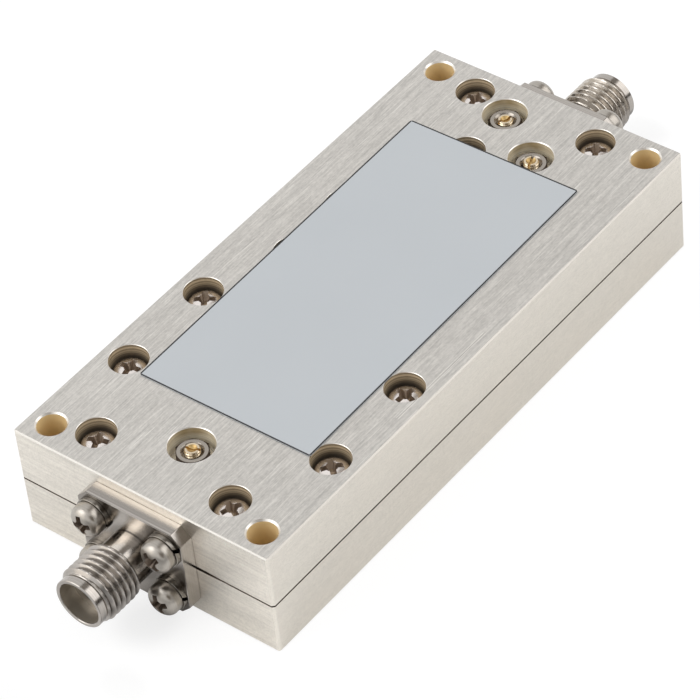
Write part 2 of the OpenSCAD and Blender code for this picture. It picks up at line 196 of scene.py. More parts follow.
# %% [markdown]
# A material starts from its shader. Patterns are laid out on the object's own coordinates, so that
# they stay on a piece when it moves, and the normal tells the top of a piece from its sides. Tones
# are laid over one another like coats of paint, each through a mask.

# %% Material helpers


def new_material(name):
    """An empty material. Returns (material, its tree, its shader)."""
    material = bpy.data.materials.new(name)
    material.use_nodes = True
    return material, material.node_tree, material.node_tree.nodes["Principled BSDF"]


def surroundings(tree):
    """Where a point is on the object: its coordinates, the three of them one by one, its normal."""
    spot = add(tree, "ShaderNodeTexCoord", take="Object")
    return spot, split(spot), split(add(tree, "ShaderNodeTexCoord", take="Normal"))


def coat(base, *layers):
    """Lay tones over a colour, each as far as its mask says."""
    for mask, tone in layers:
        node = mask.tree.nodes.new("ShaderNodeMix")
        node.data_type = "RGBA"
        sockets = {socket.identifier: socket for socket in [*node.inputs, *node.outputs]}
        for name, value in (("Factor_Float", mask), ("A_Color", base), ("B_Color", tone)):
            feed(value, sockets[name])
        base = Value(mask.tree, sockets["Result_Color"])
    return base


def noise(vector, scale, detail=2.0, roughness=0.5):
    """Soft clouds from 0 to 1, so many to the metre."""
    return add(vector.tree, "ShaderNodeTexNoise", {"Vector": vector, "Scale": scale,
        "Detail": detail, "Roughness": roughness}, "Fac")


def dress(shader, surface, height=None, strength=0.1, deep=0.01 * MM):
    """Fill in the shader's inputs, and raise a fine relief on the surface."""
    for name, value in surface.items():
        feed(value, shader.inputs[name])
    if height:
        feed(add(height.tree, "ShaderNodeBump", {"Height": height, "Strength": strength,
            "Distance": deep}), shader.inputs["Normal"])


def show_plain(shader, surface):
    """Let a material show a plain glow or matt surface in place of its shader."""
    feed(surface, surface.tree.nodes["Material Output"].inputs["Surface"])
    surface.tree.nodes.remove(shader)


def paint(material, *nodes):
    """Give CAD nodes a finish."""
    for name in nodes:
        slots = frame["nodes"][name].data.materials
        slots.clear()
        slots.append(material)
    print(material.name, "on", *nodes)


# %% [markdown]
# ## Brushed grain
#
# The faces were finished with an abrasive belt, which leaves long fine scratches along the
# housing. Noise that is stretched many times along the stroke looks the same. One group makes it
# for every face: it puts out fine streaks, a few deeper bright scratches and soft patches, and
# each material decides what they do.

# %% Brushed grain group


def make_grain():
    group, given, result = new_group("Brushed Grain", "ShaderNodeTree", [
        ("Vector", "Vector", None), ("Stroke", "Vector", (1.0, 0.04, 1.0)), ("Scale", "Float", 4500.0)],
        [("Streaks", "Float"), ("Scratches", "Float"), ("Patches", "Float")])
    stretched = add(group, "ShaderNodeVectorMath", {0: given["Vector"], 1: given["Stroke"]},
        operation="MULTIPLY")

    def lines(share, detail, low, high):
        return ramp(noise(stretched, given["Scale"] * share, detail, 0.6), low, high)

    streaks = lines(1.0, 2.0, 0.3, 0.7) * 0.7 + lines(0.3, 2.0, 0.35, 0.65) * 0.3
    feed(streaks, result["Streaks"])
    feed(lines(0.62, 1.0, 0.66, 0.72), result["Scratches"])
    feed(noise(given["Vector"], 110.0), result["Patches"])
    return group


def grain(spot, stroke, scale):
    """The streaks, scratches and patches of the group, for a stroke and a number to the metre."""
    return add(spot.tree, "ShaderNodeGroup", {"Vector": spot, "Stroke": stroke, "Scale": scale}, None,
        node_tree=brushed_grain)


brushed_grain = make_grain()
print("group:", brushed_grain.name)

# %% [markdown]
# ## Turning rings
#
# A drill or a lathe leaves rings instead. Seen along the axis they are circles, and on a wall they
# are lines around it. The group reads one coordinate, the height along the axis or the radius, and
# turns it into fine uneven bands.

# %% Turning rings group


def make_rings():
    group, given, result = new_group("Turning Rings", "ShaderNodeTree", [
        ("Along", "Float", 0.0), ("Scale", "Float", 6000.0)], [("Bands", "Float")])
    uneven = add(group, "ShaderNodeTexNoise", {"W": given["Along"], "Scale": given["Scale"],
        "Detail": 4.0, "Roughness": 0.7}, "Fac", noise_dimensions="1D")
    feed(ramp(uneven, 0.38, 0.62), result["Bands"])
    return group


def rings(along, scale):
    """The bands of the group, so many to the metre."""
    return add(along.tree, "ShaderNodeGroup", {"Along": along, "Scale": scale}, node_tree=turning_rings)


turning_rings = make_rings()
print("group:", turning_rings.name)

# %% [markdown]
# ## Silver plate
#
# The housing is plated all over. The top face is brushed dull, the sides and ends are smoother and
# the bevels are cut last, so they mirror another part of the studio than the faces do. Inside the
# holes light bounces many times and picks up the yellow of the plate. The material works out where
# it is from the object's own coordinates and normal, so one material serves both halves.

# %% Where on the housing
BEVEL = 0.18 * MM
FACE_EDGE = 0.05 * MM
CORNER_X, CORNER_Y = 11.2 * MM, 29.2 * MM
TUNER_BORE = 2.5 * MM
SEAM_LINE = 0.1 * MM
WIDE_SEAM_X, WIDE_SEAM_REACH, WIDE_SEAM_EXTRA = 6.4 * MM, (3.0 * MM, 0.8 * MM), 0.1 * MM
LIT_FROM = 0.674, 0.739
tuner_names = sorted(n for n in frame["nodes"] if n.endswith("_tuner"))
tuner_places = [(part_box(n)[0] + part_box(n)[1]) / 2 for n in tuner_names]


def housing_masks(place, normal):
    """Masks over the housing: hole walls of each kind, seam line, bevels, ends and top."""
    x, y, z = place
    across, along, tilt = abs(x), abs(y), abs(normal[2])
    within = (across < half_x - BEVEL) * (along < half_y - BEVEL)
    hole = within * (between(z, BEVEL, top_z - FACE_EDGE) * (tilt < 0.4))
    near_seam = abs(z - seam_z)
    widening = ramp(abs(x - WIDE_SEAM_X), *WIDE_SEAM_REACH) * (y < BEVEL - half_y)
    seam = (1.0 - within) * (near_seam < SEAM_LINE + widening * WIDE_SEAM_EXTRA)
    bevel = between(tilt, 0.4, 0.9) * (near_seam > 0.3 * MM)
    tuner = 0.0
    for spot in tuner_places:
        tuner = calc("MAXIMUM", tuner, distance(x - spot.x, y - spot.y) < TUNER_BORE)
    # How far a face turns towards the front right; it sets the painted shade and light in the holes.
    lit = normal[0] * LIT_FROM[0] - normal[1] * LIT_FROM[1]
    return {"hole": hole, "corners": hole * ((across > CORNER_X) * (along > CORNER_Y)),
        "tuner": tuner, "seam": seam, "bevel": bevel, "rim": bevel * within,
        "top": normal[2] > 0.9, "end": abs(normal[1]) > 0.8, "endward": abs(normal[1]) > 0.5,
        "facing": ramp(lit, 0.1, 0.9), "beside": ramp(lit, 0.95, 0.7), "depth": top_z - z}


print("tuners at", [tuple(round(v / MM, 2) for v in spot[:2]) for spot in tuner_places])

# %% [markdown]
# The colours are the plate's own reflectance, apart from the painted light and shade named here.
# The streaks swing each face between a duller and a brighter tone, because a belt scratch turns its
# flanks to another part of the studio, and short specks break them up. The bevels are painted
# darker along the outer edges, most on the ends, a painted shade that dims the highlights they
# mirror, and they are bright around the holes. The end faces are painted lighter towards the top
# on the right, a painted light. The joint of the halves is a dark line, which is wider beside the
# input flange, and two scratches lie on the right of the top.

# %% Faces of the housing
TOP_DULL, TOP_BRIGHT = (0.404, 0.389, 0.366), (0.768, 0.739, 0.696)
SIDE_DULL, SIDE_BRIGHT = (0.614, 0.587, 0.535), (0.831, 0.793, 0.725)
END_DULL, END_BRIGHT = (0.589, 0.558, 0.508), (0.921, 0.875, 0.796)
END_PAINTED_LIGHT, LIFT_UP, LIFT_ACROSS = 0.24, (3 * MM, 12 * MM), (-8 * MM, 4 * MM)
CLOUD = (0.765, 0.705, 0.620)
BEVEL_TONE, BEVEL_END = (0.530, 0.505, 0.465), (0.400, 0.385, 0.360)
RIM_TONE = (0.820, 0.795, 0.750)
SCRATCH_WHITE, SCRATCH_DARK = (0.900, 0.875, 0.830), (0.120, 0.095, 0.068)
SCRATCH_Y = -12.4 * MM, 1.6 * MM
SCRATCH_PAIR = ((1.23 * MM, 1.31 * MM, 0.5, SCRATCH_WHITE),
    (1.03 * MM, 1.10 * MM, 0.5, SCRATCH_WHITE), (1.12 * MM, 1.21 * MM, 0.25, SCRATCH_DARK))
SEAM_BROWN = (0.020, 0.012, 0.009)


def plate_faces(spot, place, on):
    """The colour of the outer faces, and the streaks on them."""
    x, y, z = place
    streaks, scratches, patches = grain(spot, (1.0, 0.035, 1.0), 9000.0)
    crosswise = grain(spot, (0.05, 1.0, 1.0), 3000.0)[0]
    specks = grain(spot, (1.0, 0.5, 1.0), 5500.0)[0]

    def speckled(lines, share):
        return lines * (1.0 - share) + specks * share

    top = coat(TOP_DULL, (speckled(streaks, 0.38), TOP_BRIGHT), (scratches * 0.4, SCRATCH_WHITE))
    for low, high, share, tone in SCRATCH_PAIR:
        line = between(x, half_x - high, half_x - low) * between(y, *SCRATCH_Y)
        top = coat(top, (line * share, tone))
    side = coat(SIDE_DULL, (speckled(streaks, 0.6), SIDE_BRIGHT), (patches * 0.5, CLOUD))
    # The end faces are painted lighter towards the top on the right: painted light.
    lift = ramp(z, *LIFT_UP) * ramp(x, *LIFT_ACROSS) * END_PAINTED_LIGHT
    end = add(spot.tree, "ShaderNodeVectorMath", {0: coat(END_DULL, (speckled(crosswise, 0.45),
        END_BRIGHT)), "Scale": 1.0 + lift}, operation="SCALE")
    end = add(spot.tree, "ShaderNodeVectorMath", {0: end, 1: (1, 1, 1)}, operation="MINIMUM")
    # The bevels are painted darker, most on the ends: painted shade that dims their mirrored highlights.
    bevel = coat(BEVEL_TONE, (on["endward"], BEVEL_END))
    return coat(side, (on["end"], end), (on["top"], top), (on["bevel"], bevel), (on["rim"], RIM_TONE),
        (on["seam"], SEAM_BROWN)), streaks


print("end faces up to", round(1 + END_PAINTED_LIGHT, 2), "times lighter")

# %% [markdown]
# The walls of the screw counterbores go from tan to nearly black at the screw, with the rings that
# the cutter left; the dark is painted shade, deepest on the walls that face the front right. The
# wells of the tuners are wider, so more light reaches their walls: they are olive at the rim, and
# painted light makes them cream lower down and on the walls that do not face the front right. The
# corner holes go right through and are plain gold.

# %% Walls of the holes
HOLE_TAN, HOLE_DARK = (0.680, 0.545, 0.360), (0.120, 0.095, 0.068)
HOLE_LIGHT, HOLE_OLIVE = (1.000, 0.890, 0.670), (0.520, 0.400, 0.225)
HOLE_GOLD, HOLE_BROWN = (0.770, 0.590, 0.315), (0.200, 0.150, 0.095)
SCREW_DARKENS, WELL_LIGHTENS = (0.55 * MM, 1.5 * MM), (0.45 * MM, 1.35 * MM)


def plate_holes(spot, place, on):
    """The colour of the walls of the counterbores, the tuners' wells and the corner holes."""
    bands = rings(place[2], 4300.0)
    # Painted shade: the counterbore walls darken with depth, most where they face the front right.
    sunk = ramp(on["depth"], *SCREW_DARKENS, smooth=True)
    wall = coat(HOLE_TAN, (bands * 0.9, HOLE_BROWN), (sunk * (0.45 + on["facing"] * 0.55), HOLE_DARK))
    # Painted light: the tuners' wells lighten with depth and where they do not face the front right.
    patchy = ramp(noise(spot, 520.0, 1.0), 0.35, 0.65)
    deep = ramp(on["depth"], *WELL_LIGHTENS, smooth=True)
    light = calc("ADD", deep, (patchy - 0.5) * 0.5, clamp=True)
    well = coat(HOLE_OLIVE, (light, HOLE_LIGHT), (on["beside"] * 0.55, HOLE_LIGHT),
        (bands * 0.25, HOLE_BROWN))
    return coat(wall, (on["tuner"], well), (on["corners"], HOLE_GOLD))


print("screw holes darken from", round(SCREW_DARKENS[0] / MM, 2), "mm down")

# %% [markdown]
# Metal has no colour of its own apart from what it mirrors, so the plate is fully metallic. The
# walls of the holes are less so, because light that has bounced between them looks like matt
# paint. The top is rougher than the sides, and the streaks are a fine relief as well.

# %% Silver plate material


def silver_plate():
    material, tree, shader = new_material("silver_plate")
    spot, place, normal = surroundings(tree)
    on = housing_masks(place, normal)
    face, streaks = plate_faces(spot, place, on)
    rough = 0.19 + on["top"] * 0.13 + streaks * 0.08
    for mask, more in (("bevel", 0.12), ("hole", 0.18), ("end", 0.14)):
        rough = rough + on[mask] * more
    dress(shader, {"Base Color": coat(face, (on["hole"], plate_holes(spot, place, on))),
        "Metallic": 1.0 - on["hole"] * 0.8 - on["corners"] * 0.2, "Roughness": rough}, streaks,
        deep=0.02 * MM)
    return material


paint(silver_plate(), "upper_shell", "lower_shell")

# %% [markdown]
# ## The other metals
#
# Stainless jacks, nickel-plated steel screws and gold-plated contacts differ in colour and polish
# only, so one function makes them all. The screw steel is made twice: the sunk screws are painted
# lighter, a painted light, and the screws on the flanges are rougher and painted darker, a painted
# shade. Turned parts carry rings, which run around each piece's own axis. A piece keeps its rings
# when it is placed, because they follow an attribute stored on the mesh, the distance along the
# axis. A second attribute marks the faces that take a second tone: painted shade in recesses and on
# nuts, painted light in the jacks' bores and a deeper gold in the tuning screws.

# %% Turned metals


def turned_metal(name, colour, dimmer, rough, painted_light_and_wear=(0.03, 0.018, 0.012), shade=None):
    material, tree, shader = new_material(name)
    along, light_and_wear_share = (add(tree, "ShaderNodeAttribute", take="Fac", attribute_name=label)
        for label in ("along", "painted_light_and_wear"))
    bands = rings(along, 4000.0)
    # The attribute's share lays the second tone: painted shade in recesses and on nuts, painted light in
    # the jacks' bores, a deeper gold in the tuning screws.
    base = coat(colour, (bands * 0.5, dimmer), (light_and_wear_share, painted_light_and_wear), *(shade(tree) if shade else ()))
    spots = noise(add(tree, "ShaderNodeTexCoord", take="Object"), 2500.0, 3.0)
    dress(shader, {"Base Color": base, "Metallic": 1.0,
        "Roughness": rough + spots * 0.08 + light_and_wear_share * 0.25}, bands)
    return material


# Two copies of one screw steel: this lighter one is painted light, the next darker one painted shade.
# Their recess tones are painted shade.
bright_steel = turned_metal("bright_steel", (0.84, 0.79, 0.76), (0.68, 0.63, 0.59), 0.22,
    (0.36, 0.28, 0.20))
flange_steel = turned_metal("flange_steel", (0.46, 0.43, 0.39), (0.36, 0.33, 0.29), 0.28,
    (0.20, 0.14, 0.10))
washer_steel = turned_metal("washer_steel", (0.30, 0.28, 0.25), (0.22, 0.20, 0.18), 0.2)
nut_nickel = turned_metal("nut_nickel", (0.38, 0.345, 0.305), (0.28, 0.25, 0.22), 0.2)
gold_plate = turned_metal("gold_plate", (0.72, 0.62, 0.48), (0.56, 0.44, 0.28), 0.18,
    (0.56, 0.39, 0.17))
strip_metal = turned_metal("strip_metal", (0.62, 0.58, 0.50), (0.55, 0.50, 0.42), 0.3)
print("metals:", [m.name for m in (bright_steel, flange_steel, washer_steel, nut_nickel)])

# %% [markdown]
# The steel of the jacks carries painted shade and painted light. The input jack is painted darker on
# the flange around the neck and the washers and at its sides between the screws, in the lower
# grooves of the thread and along the top of the flange. The upper side of the neck and of the output
# thread is painted lighter. Both are masks worked out from the place on the jack, out from the end
# face.

# %% Stainless steel of the jacks
CREST = mount_sizes["input_thread"]["r_mm"] * MM
SOCKET_R = mount_sizes["input_mouth"]["r_mm"] * MM
THREAD_FROM, THREAD_TO = 4.2 * MM, 8.75 * MM
OUTSIDE, NECK_SKIN = 2.5 * MM, 2.8 * MM
PAINTED_SHADE_TONE, PAINTED_LIGHT_TONE = (0.050, 0.040, 0.032), (0.800, 0.740, 0.660)
SHADE_SPOTS = [(0.0, 0.0, 3.9 * MM, 3.9 * MM, 0.62, 0.55),
    (4.32 * MM, 4.32 * MM, 2.9 * MM, 2.9 * MM, 0.6, 0.4), (6.3 * MM, 0.0, 1.9 * MM, 2.3 * MM, 0.3, 0.75)]


def jack_painted_light(tree):
    """The painted shade and the painted light of the jacks, each with its tone."""
    _, (x, y, z), normal = surroundings(tree)
    out = -half_y - y
    across, above = abs(x), abs(z - seam_z)
    radius = distance(across, above)
    outside = radius > OUTSIDE
    flange_front = between(out, FLANGE_T - 0.1 * MM, FLANGE_T + 0.1 * MM)
    painted_shade = 0.0
    for at_x, at_z, wide, high, near, share in SHADE_SPOTS:
        away = distance((across - at_x) / wide, (above - at_z) / high)
        painted_shade = calc("MAXIMUM", painted_shade, ramp(away, near, 1.0, share, 0.0, smooth=True))
    thread = between(out, THREAD_FROM + 0.2 * MM, THREAD_TO - 0.2 * MM) * outside
    # Painted shade in the lower grooves of the input thread.
    groove = ramp(radius, CREST - 0.05 * MM, CREST - 0.36 * MM) * ramp(z, seam_z - 0.5 * MM,
        seam_z + 2.2 * MM, 0.95, 0.1) * thread
    flange_top = (normal[2] > 0.9) * between(out, 0.0, FLANGE_T - 0.28 * MM) * (above > 4.5 * MM)
    dimmer = ramp(out, 0.3 * MM, 0.5 * MM, 0.0, 0.27) * flange_top
    # Painted light on the upper side of the neck and of the output thread.
    upper = ramp(z, seam_z + MM, seam_z + 2.2 * MM) * outside
    far_thread = upper * between(out, -2 * half_y - THREAD_TO, -2 * half_y - THREAD_FROM)
    neck = upper * ramp(x, MM, 0.0) * between(out, FLANGE_T + 0.1 * MM, THREAD_FROM) * (
        radius < NECK_SKIN)
    painted_shade = calc("MAXIMUM", calc("MAXIMUM", painted_shade * flange_front, groove), dimmer)
    return (painted_shade, PAINTED_SHADE_TONE), (far_thread * 0.45 + neck * 0.8, PAINTED_LIGHT_TONE)


stainless = turned_metal("stainless", (0.45, 0.42, 0.39), (0.36, 0.332, 0.30), 0.15,
    (0.56, 0.52, 0.46), jack_painted_light)
print("thread crest radius", round(CREST / MM, 3), "mm, flange", round(FLANGE_T / MM, 2), "mm thick")

# %% [markdown]
# ## The label plate
#
# A thin bare grey plate with a dark line along its edge. The plate was stuck on slightly askew,
# so a Mapping node turns the coordinates back before the distance to the edge is measured. The
# box of the turned plate is a little larger than the plate, and its own size follows from the turn.

# %% Label material
LABEL_TURN = math.radians(0.6)
LINE = 0.17 * MM
EDGE_BLACK = (0.015, 0.015, 0.016)
LABEL_GREY, LABEL_PALE = (0.455, 0.480, 0.503), (0.481, 0.506, 0.527)
label_low, label_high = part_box("label_plate")
box_w, box_l = label_high.x - label_low.x, label_high.y - label_low.y
turn_cos, turn_sin = math.cos(LABEL_TURN), math.sin(LABEL_TURN)
LABEL_W = (box_w * turn_cos - box_l * turn_sin) / math.cos(2 * LABEL_TURN)
LABEL_L = (box_l * turn_cos - box_w * turn_sin) / math.cos(2 * LABEL_TURN)


def label_face():
    material, tree, shader = new_material("label_face")
    spot, _, normal = surroundings(tree)
    turned = add(tree, "ShaderNodeMapping", {"Vector": spot, "Location": (label_low + label_high) / 2,
        "Rotation": (0.0, 0.0, LABEL_TURN)}, vector_type="TEXTURE")
    x, y, _ = split(turned)
    gap = calc("MINIMUM", LABEL_W / 2 - abs(x), LABEL_L / 2 - abs(y))
    fine, edge = noise(spot, 9000.0), (gap < LINE) * (normal[2] > 0.5)
    dress(shader, {"Base Color": coat(LABEL_GREY, (noise(spot, 90.0), LABEL_PALE), (edge, EDGE_BLACK)),
        "Roughness": 0.42 + fine * 0.12}, fine, 0.05)
    return material


paint(label_face(), "label_plate")
print("label plate", round(LABEL_W / MM, 2), "x", round(LABEL_L / MM, 2), "mm")

# %% [markdown]
# ## Inner pieces
#
# The insulators are a milky plastic. They sit deep in the jacks and in the closed cavity, with the
# gold contacts and the plated strip. Their solids have the right shape and keep it.

# %% Insulator material


def insulator():
    material, tree, shader = new_material("insulator")
    cloud = noise(add(tree, "ShaderNodeTexCoord", take="Object"), 900.0)
    dress(shader, {"Base Color": coat((0.80, 0.77, 0.70), (cloud, (0.74, 0.70, 0.62))),
        "Roughness": 0.45})
    return material


paint(insulator(), "input_bead", "output_bead", "strip_posts")
paint(gold_plate, "input_contact", "output_contact")
paint(strip_metal, "centre_strip")

# %% [markdown]
# ## Turned shapes
#
# Screw heads, barrels and collars are bodies of revolution. The lathe helper takes half of the
# outline as (radius, height) pairs, runs it round the Z axis and closes the poles. The outline is
# drawn upwards on the outside, so that the faces point outwards. A rod is the plainest of them.

# %% Lathe helper


def to_mesh(made):
    """The mesh of a bmesh, which is freed."""
    mesh = bpy.data.meshes.new("made")
    made.to_mesh(mesh)
    made.free()
    return mesh


def lathe(outline, segments=64):
    """A closed mesh from a half outline, which starts and ends at r = 0 or else leaves open ends."""
    made = bmesh.new()
    rows = []
    for r, z in outline:
        if r < 1e-9:
            rows.append([made.verts.new((0, 0, z))] * segments)
        else:
            rows.append([made.verts.new((r * math.cos(a), r * math.sin(a), z))
                for a in np.arange(segments) * 2 * math.pi / segments])
    for low, high in zip(rows, rows[1:]):
        for i in range(segments):
            j = (i + 1) % segments
            ring = list(dict.fromkeys((low[i], low[j], high[j], high[i])))
            if len(ring) > 2:
                made.faces.new(ring)
    bmesh.ops.recalc_face_normals(made, faces=made.faces)
    return to_mesh(made)


def rod(radius, low, high, segments=64):
    """A plain round bar between two heights."""
    return lathe([(0, low), (radius, low), (radius, high), (0, high)], segments)


print("lathe ready")

# %% [markdown]
# A real part is cut, joined and filed. Here a Boolean cuts, a merge joins, and a bevel files. The
# meshes are joined before a Boolean touches them, because it needs closed shapes.

# %% Workshop helpers


def make_object(name, mesh):
    """Link a mesh into the scene under a name."""
    thing = bpy.data.objects.new(name, mesh)
    bpy.context.scene.collection.objects.link(thing)
    return thing


def evaluated(thing):
    """The plain mesh that an object's modifiers make. The object goes."""
    mesh = bpy.data.meshes.new_from_object(
        thing.evaluated_get(bpy.context.evaluated_depsgraph_get()))
    bpy.data.objects.remove(thing)
    return mesh


def join(*meshes):
    """One mesh from several, with vertices that meet merged."""
    made = opened(*meshes)
    bmesh.ops.recalc_face_normals(made, faces=made.faces)
    return to_mesh(made)


def capped(mesh):
    """Close the open rings of a tube."""
    made = opened(mesh, merge=0)
    bmesh.ops.holes_fill(made, edges=[e for e in made.edges if e.is_boundary], sides=0)
    bmesh.ops.recalc_face_normals(made, faces=made.faces)
    return to_mesh(made)


def softened(mesh, width, angle=38):
    """A copy of a closed mesh with its sharp edges bevelled."""
    made = opened(mesh)
    sharp = [e for e in made.edges if len(e.link_faces) == 2 and
        e.calc_face_angle() > math.radians(angle)]
    bmesh.ops.bevel(made, geom=sharp, offset=width, segments=1, affect="EDGES", clamp_overlap=True)
    return to_mesh(made)


def cut(mesh, tool, operation="DIFFERENCE"):
    """A Boolean of two closed meshes."""
    body, other = make_object("body", mesh), make_object("tool", tool)
    step = body.modifiers.new("cut", "BOOLEAN")
    step.operation, step.object, step.solver = operation, other, "EXACT"
    result = evaluated(body)
    bpy.data.objects.remove(other)
    return result


def block(low, high, taper=1.0):
    """A box between two corners. Its foot is narrower than its top by the taper."""
    made = bmesh.new()
    bmesh.ops.create_cube(made, size=1.0)
    for vert in made.verts:
        share = vert.co + Vector((0.5, 0.5, 0.5))
        vert.co = Vector([low[i] + (high[i] - low[i]) * share[i] for i in range(3)])
        if share.z < 0.5:
            vert.co.x *= taper
            vert.co.y *= taper
    return to_mesh(made)


print("workshop ready")

# %% [markdown]
# ## A helical thread
#
# A thread is a cylinder whose radius rises and falls with the height, and the pattern climbs by
# one pitch in each turn. Geometry Nodes say exactly that: a flat grid is rolled up, and the radius
# of each point follows from its angle and its height. A real thread is cut into a blank whose
# ends are chamfered, so the radius is never more than the blank's. The seam of the rolled grid is
# closed by merging the points that meet.

# %% Thread tree


def make_thread_tree():
    group, given, result = new_group("Helical Thread", "GeometryNodeTree", [
        ("Geometry", "Geometry", None), ("Crest Radius", "Float", 0.003), ("Depth", "Float", 0.0004),
        ("Pitch", "Float", 0.0007), ("Start", "Float", 0.0), ("End", "Float", 0.004),
        ("Chamfer", "Float", 0.0005), ("Phase", "Float", 0.0), ("Around", "Int", 96),
        ("Rows", "Int", 80)], [("Geometry", "Geometry")])
    grid = add(group, "GeometryNodeMeshGrid", {"Size X": 1.0, "Size Y": 1.0,
        "Vertices X": given["Around"] + 1.0, "Vertices Y": given["Rows"]}, "Mesh")
    spot = split(add(group, "GeometryNodeInputPosition"))
    turn, up = spot[0] + 0.5, spot[1] + 0.5
    length = given["End"] - given["Start"]
    climb = up * length
    height = given["Start"] + climb
    phase = calc("FRACT", height / given["Pitch"] + given["Phase"] - turn)
    flank = ramp(abs(phase - 0.5) * 2.0, 0.08, 0.88)
    to_end = calc("MINIMUM", climb, length - climb)
    blank = calc("DIVIDE", to_end, given["Chamfer"], clamp=True)
    sunk = given["Depth"] * (1.0 - calc("MINIMUM", flank, blank))
    radius = given["Crest Radius"] - sunk
    angle = turn * (2 * math.pi)
    place = add(group, "ShaderNodeCombineXYZ", {"X": radius * calc("COSINE", angle),
        "Y": radius * calc("SINE", angle), "Z": height})
    rolled = add(group, "GeometryNodeSetPosition", {"Geometry": grid, "Position": place})
    closed = add(group, "GeometryNodeMergeByDistance", {"Geometry": rolled, "Distance": 0.002 * MM})
    feed(closed, result["Geometry"])
    return group


def grow(tree, points=((0.0, 0.0, 0.0),), stored=None, **values):
    """Run a Geometry Nodes tree on some points and return the plain mesh that it makes."""
    seeds = bpy.data.meshes.new("seeds")
    seeds.from_pydata([tuple(p) for p in points], [], [])
    for name, rows in (stored or {}).items():
        layer = seeds.attributes.new(name, "FLOAT_VECTOR", "POINT")
        layer.data.foreach_set("vector", np.array(rows, float).ravel())
    host = make_object("host", seeds)
    step = host.modifiers.new("grow", "NODES")
    step.node_group = tree
    for item in tree.interface.items_tree:
        if item.in_out == "INPUT" and item.name.replace(" ", "_") in values:
            step[item.identifier] = values[item.name.replace(" ", "_")]
    return evaluated(host)


thread_tree = make_thread_tree()
print("tree:", thread_tree.name)

# %% [markdown]
# ## Finish a small part
#
# The materials read two attributes: "along", the distance along the part's axis in metres, and a
# second one, the share of a second tone on a face: painted shade in a screw's recess and on a nut's
# sides, a deeper gold inside a tuning screw. On a jack it marks the bore instead, which takes a
# lighter tone as painted light. Both are written before the part is placed. Smooth shading stops at
# sharp edges.

# %% Attributes and shading


def finish(mesh, material, light_and_wear_share=None, sharp=28):
    """Store the attributes, set the material and the shading."""
    mesh.materials.clear()
    mesh.materials.append(material)
    spots = np.zeros(len(mesh.vertices) * 3)
    mesh.vertices.foreach_get("co", spots)
    spots = spots.reshape(-1, 3)
    radius = np.hypot(spots[:, 0], spots[:, 1])
    along = mesh.attributes.new("along", "FLOAT", "POINT")
    along.data.foreach_set("value", spots[:, 2] + radius * 0.7)
    painted_light_and_wear = mesh.attributes.new("painted_light_and_wear", "FLOAT", "FACE")
    painted_light_and_wear.data.foreach_set("value", [float(light_and_wear_share(f.center, f.normal)) if light_and_wear_share else 0.0
        for f in mesh.polygons])
    mesh.polygons.foreach_set("use_smooth", [True] * len(mesh.polygons))
    mesh.polygons.foreach_set("material_index", [0] * len(mesh.polygons))
    mesh.set_sharp_from_angle(angle=math.radians(sharp))
    return mesh


print("finish ready")

# %% [markdown]
# ## The pan head screw
#
# The head is turned: a straight side and a full dome. The side is higher on the cover screws than
# on the flange screws. The cross recess is cut with two tapered blades and a tapered core, which
# is how the punch that forms a real one looks, and its edges are softened, because a small bevel
# catches the light. The shank carries a true thread, from the same tree as the jacks.

# %% Screw prototypes
screw_low, screw_high = cover_screws[0]
washer_low, washer_high = cover_washers[0]
head_r = (screw_high.x - screw_low.x) / 2
seat_z = washer_high.z
head_h = screw_high.z - seat_z
COVER_LENGTH, FLANGE_LENGTH = seat_z - screw_low.z, flange_screws[0][1].y - flange_washers[0][0].y
COVER_SIDE, FLANGE_SIDE = 0.62 * head_h, 0.43 * head_h
RECESS_SPAN, RECESS_ARM, RECESS_DEPTH = 2.65 * MM, 0.72 * MM, 1.0 * MM
SHANK_R, SHANK_PITCH, SHANK_DEPTH = 1.0 * MM, 0.4 * MM, 0.22 * MM


def dome_height(r, side):
    """Height of the dome at a radius, for a head with a straight side."""
    return side + (head_h - side) * math.sqrt(max(1 - (r / head_r) ** 2.4, 0.0))


def head_outline(side):
    """Half outline of the pan head: flat seat, straight side, dome."""
    dome = [(head_r * math.cos(a), dome_height(head_r * math.cos(a), side))
        for a in np.radians(np.arange(0, 90, 6))]
    return [(0, 0), (head_r - 0.06 * MM, 0), (head_r, 0.06 * MM)] + dome + [(0, head_h)]


def painted_recess_shade(centre, normal):
    """How much painted shade a face of the head takes: the floor of the recess most, its walls less."""
    r = math.hypot(centre.x, centre.y)
    inside = centre.z > 0.2 * head_h and r < RECESS_SPAN / 2 + 0.03 * MM and \
        centre.z < dome_height(r, FLANGE_SIDE) - 0.03 * MM
    return 0.0 if not inside else (1.0 if abs(normal.z) > 0.8 else 0.6)


def pan_screw(length, side, material):
    """A screw with its seat at z = 0 and its shank below."""
    head = lathe(head_outline(side), 72)
    top = head_h + 0.3 * MM
    foot = head_h - RECESS_DEPTH
    for wide, long in ((RECESS_SPAN, RECESS_ARM), (RECESS_ARM, RECESS_SPAN)):
        head = cut(head, block((-wide / 2, -long / 2, foot), (wide / 2, long / 2, top), 0.5))
    core = lathe([(0, foot - 0.12 * MM), (0.26 * MM, foot - 0.02 * MM), (0.78 * MM, top), (0, top)], 8)
    head = softened(cut(head, core), 0.035 * MM)
    thread = grow(thread_tree, Crest_Radius=SHANK_R, Depth=SHANK_DEPTH, Pitch=SHANK_PITCH,
        Start=-length, End=0.1 * MM, Chamfer=0.3 * MM, Around=20, Rows=int(length / SHANK_PITCH * 10))
    return finish(join(head, capped(thread)), material, painted_recess_shade)


